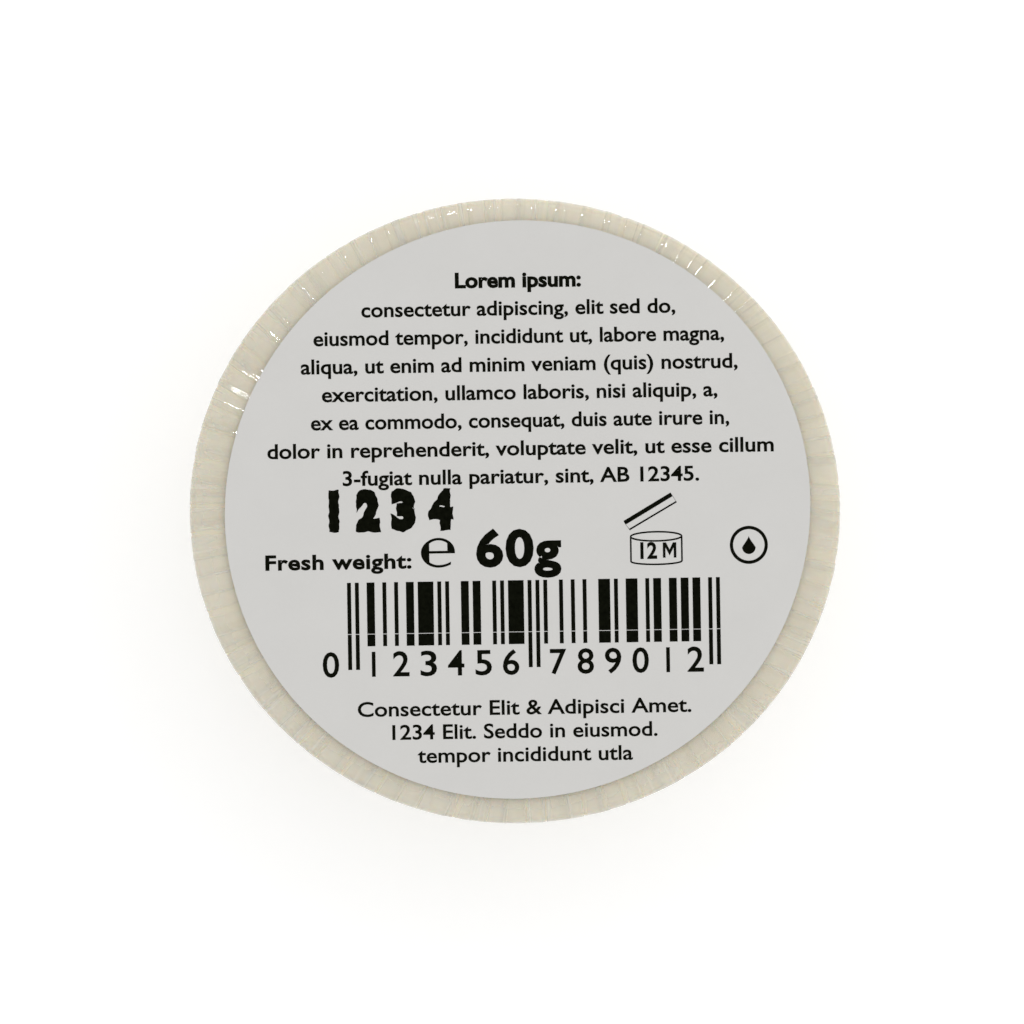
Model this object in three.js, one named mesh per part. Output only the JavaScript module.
// Shaving soap puck: a round cake of hard shaving soap in one pleated sheet of clear film.
// A round paper label on the back holds the pleats shut, and a smaller one marks the front.
//
// Millimetres, +Z up. The puck lies on its front face, with the closing label on top.
// The origin is the middle of its footprint, on the surface that it lies on.
// +X runs along the longer way across the slightly oval cake.

import * as THREE from 'three';

// Soap cake: pressed round, a little oval, with both edges rounded over.
const SOAP_LENGTH = 59.4;
const SOAP_WIDTH = 57.05;
const SOAP_HEIGHT = 21;
const SOAP_EDGE_RADIUS = 0.7;

// Clear film: flat over the front, up the side, and pleated in over the back.
const FILM_CLEARANCE = 0.05;
const FILM_THICKNESS = 0.2;
const FILM_OPENING = 12;
const PLEAT_COUNT = 72;
const PLEAT_RELIEF = 0.12;
const PLEAT_LEAN = 0.3;

// Paper labels, each on a thin coat of adhesive.
const LABEL_THICKNESS = 0.1;
const ADHESIVE_THICKNESS = 0.02;
const BACK_LABEL_LENGTH = 54.1;
const BACK_LABEL_WIDTH = 53;
const BACK_LABEL_TURN = THREE.MathUtils.degToRad(27);
const BACK_LABEL_OFFSET_X = 0.24;
const BACK_LABEL_OFFSET_Y = 0.13;
const FRONT_LABEL_DIAMETER = 46;

// Fineness of the round surfaces.
const ROUND_SEGMENTS = 96;
const ARC_SEGMENTS = 5;

// The stack, from the surface that the puck lies on to the back label's paper.
const FILM_BOTTOM = LABEL_THICKNESS + ADHESIVE_THICKNESS;
const SOAP_BOTTOM = FILM_BOTTOM + FILM_THICKNESS + FILM_CLEARANCE;
const SOAP_TOP = SOAP_BOTTOM + SOAP_HEIGHT;
const PLEAT_TOP = SOAP_TOP + FILM_CLEARANCE + FILM_THICKNESS + PLEAT_RELIEF;
const BACK_LABEL_BOTTOM = PLEAT_TOP + ADHESIVE_THICKNESS;

const OVAL = SOAP_WIDTH / SOAP_LENGTH;

const soapMaterial = new THREE.MeshStandardMaterial({
  name: 'cream_soap',
  color: new THREE.Color(0.86, 0.82, 0.7),
  roughness: 0.6,
  metalness: 0,
});

const filmMaterial = new THREE.MeshStandardMaterial({
  name: 'clear_film',
  color: new THREE.Color(0.92, 0.91, 0.86),
  roughness: 0.08,
  metalness: 0,
  transparent: true,
  opacity: 0.35,
});

const paperMaterial = new THREE.MeshStandardMaterial({
  name: 'label_paper',
  color: new THREE.Color(0.84, 0.84, 0.83),
  roughness: 0.8,
  metalness: 0,
});

// A quarter turn of a rounded edge as points of (radius, height), both ends included.
function roundedEdge(centreRadius, centreHeight, radius, startAngle, endAngle) {
  const points = [];
  for (let step = 0; step <= ARC_SEGMENTS; step += 1) {
    const angle = startAngle + ((endAngle - startAngle) * step) / ARC_SEGMENTS;
    const x = centreRadius + radius * Math.cos(angle);
    const y = centreHeight + radius * Math.sin(angle);
    points.push(new THREE.Vector2(x, y));
  }
  return points;
}

// Half the outline of the cake grown outwards by one distance, from the middle of its
// front to where its back face begins.
function cakeOutline(grow) {
  const radius = SOAP_EDGE_RADIUS + grow;
  const centreRadius = SOAP_LENGTH / 2 - SOAP_EDGE_RADIUS;
  const lowCentre = SOAP_BOTTOM + SOAP_EDGE_RADIUS;
  const highCentre = SOAP_TOP - SOAP_EDGE_RADIUS;
  return [
    new THREE.Vector2(0, SOAP_BOTTOM - grow),
    ...roundedEdge(centreRadius, lowCentre, radius, -Math.PI / 2, 0),
    ...roundedEdge(centreRadius, highCentre, radius, 0, Math.PI / 2),
  ];
}

// Turns a profile about the Z axis.
function turned(profile, segments) {
  const geometry = new THREE.LatheGeometry(profile, segments);
  geometry.rotateX(Math.PI / 2);
  return geometry;
}

function soapGeometry() {
  const profile = cakeOutline(0);
  profile.push(new THREE.Vector2(0, SOAP_TOP));
  const geometry = turned(profile, ROUND_SEGMENTS);
  geometry.scale(1, OVAL, 1);
  return geometry;
}

// How far a pleat stands proud at a height: nothing at the front, where the film is one
// flat layer, and its full relief from the back edge inwards.
function pleatRise(height) {
  const start = SOAP_BOTTOM + SOAP_EDGE_RADIUS;
  const end = SOAP_TOP - SOAP_EDGE_RADIUS;
  return PLEAT_RELIEF * THREE.MathUtils.smoothstep(height, start, end);
}

// Lifts every second column of the outer skin into a fold, and leans the columns between
// them over to one side, so that the pleats all lie the same way.
function raisePleats(geometry, outerPoints, pointsPerColumn) {
  const position = geometry.attributes.position;
  const pitch = (2 * Math.PI) / PLEAT_COUNT;
  const turnValley = new THREE.Matrix4().makeRotationZ(PLEAT_LEAN * pitch);
  const highCentre = SOAP_TOP - SOAP_EDGE_RADIUS;
  const flatRadius = SOAP_LENGTH / 2 - SOAP_EDGE_RADIUS;
  const point = new THREE.Vector3();
  for (let index = 0; index < position.count; index += 1) {
    const column = Math.floor(index / pointsPerColumn);
    const inOuterSkin = index % pointsPerColumn < outerPoints;
    point.fromBufferAttribute(position, index);
    if (column % 2 === 0 && inOuterSkin) {
      const radius = Math.hypot(point.x, point.y);
      const outward = Math.max(radius - flatRadius, 0);
      const upward = Math.max(point.z - highCentre, 0);
      const tilt = Math.atan2(upward, outward);
      const rise = pleatRise(point.z);
      const spread = radius > 0 ? 1 + (rise * Math.cos(tilt)) / radius : 1;
      point.x *= spread;
      point.y *= spread;
      point.z += rise * Math.sin(tilt);
    }
    if (column % 2 === 1) {
      point.applyMatrix4(turnValley);
    }
    position.setXYZ(index, point.x, point.y, point.z);
  }
  geometry.computeVertexNormals();
}

function filmGeometry() {
  const openingRadius = FILM_OPENING / 2;
  const inner = cakeOutline(FILM_CLEARANCE);
  const outer = cakeOutline(FILM_CLEARANCE + FILM_THICKNESS);
  inner.push(new THREE.Vector2(openingRadius, SOAP_TOP + FILM_CLEARANCE));
  outer.push(new THREE.Vector2(openingRadius, SOAP_TOP + FILM_CLEARANCE + FILM_THICKNESS));
  const profile = [...outer, ...inner.reverse()];
  const geometry = turned(profile, 2 * PLEAT_COUNT);
  raisePleats(geometry, outer.length, profile.length);
  geometry.scale(1, OVAL, 1);
  return geometry;
}

// A flat disc of paper, resting on z = 0.
function labelGeometry(length, width) {
  const radius = length / 2;
  const geometry = new THREE.CylinderGeometry(radius, radius, LABEL_THICKNESS, ROUND_SEGMENTS);
  geometry.rotateX(Math.PI / 2);
  geometry.scale(1, width / length, 1);
  geometry.translate(0, 0, LABEL_THICKNESS / 2);
  return geometry;
}

function namedMesh(name, geometry, material) {
  const mesh = new THREE.Mesh(geometry, material);
  mesh.name = name;
  return mesh;
}

function soapPuck() {
  return namedMesh('soap_puck', soapGeometry(), soapMaterial);
}

function filmWrap() {
  return namedMesh('film_wrap', filmGeometry(), filmMaterial);
}

function backLabel() {
  const geometry = labelGeometry(BACK_LABEL_LENGTH, BACK_LABEL_WIDTH);
  const label = namedMesh('back_label', geometry, paperMaterial);
  label.rotation.z = BACK_LABEL_TURN;
  label.position.set(BACK_LABEL_OFFSET_X, BACK_LABEL_OFFSET_Y, BACK_LABEL_BOTTOM);
  return label;
}

function frontLabel() {
  const geometry = labelGeometry(FRONT_LABEL_DIAMETER, FRONT_LABEL_DIAMETER);
  return namedMesh('front_label', geometry, paperMaterial);
}

const puck = new THREE.Group();
puck.name = 'shaving_soap_puck';
puck.add(soapPuck(), filmWrap(), backLabel(), frontLabel());

export default puck;
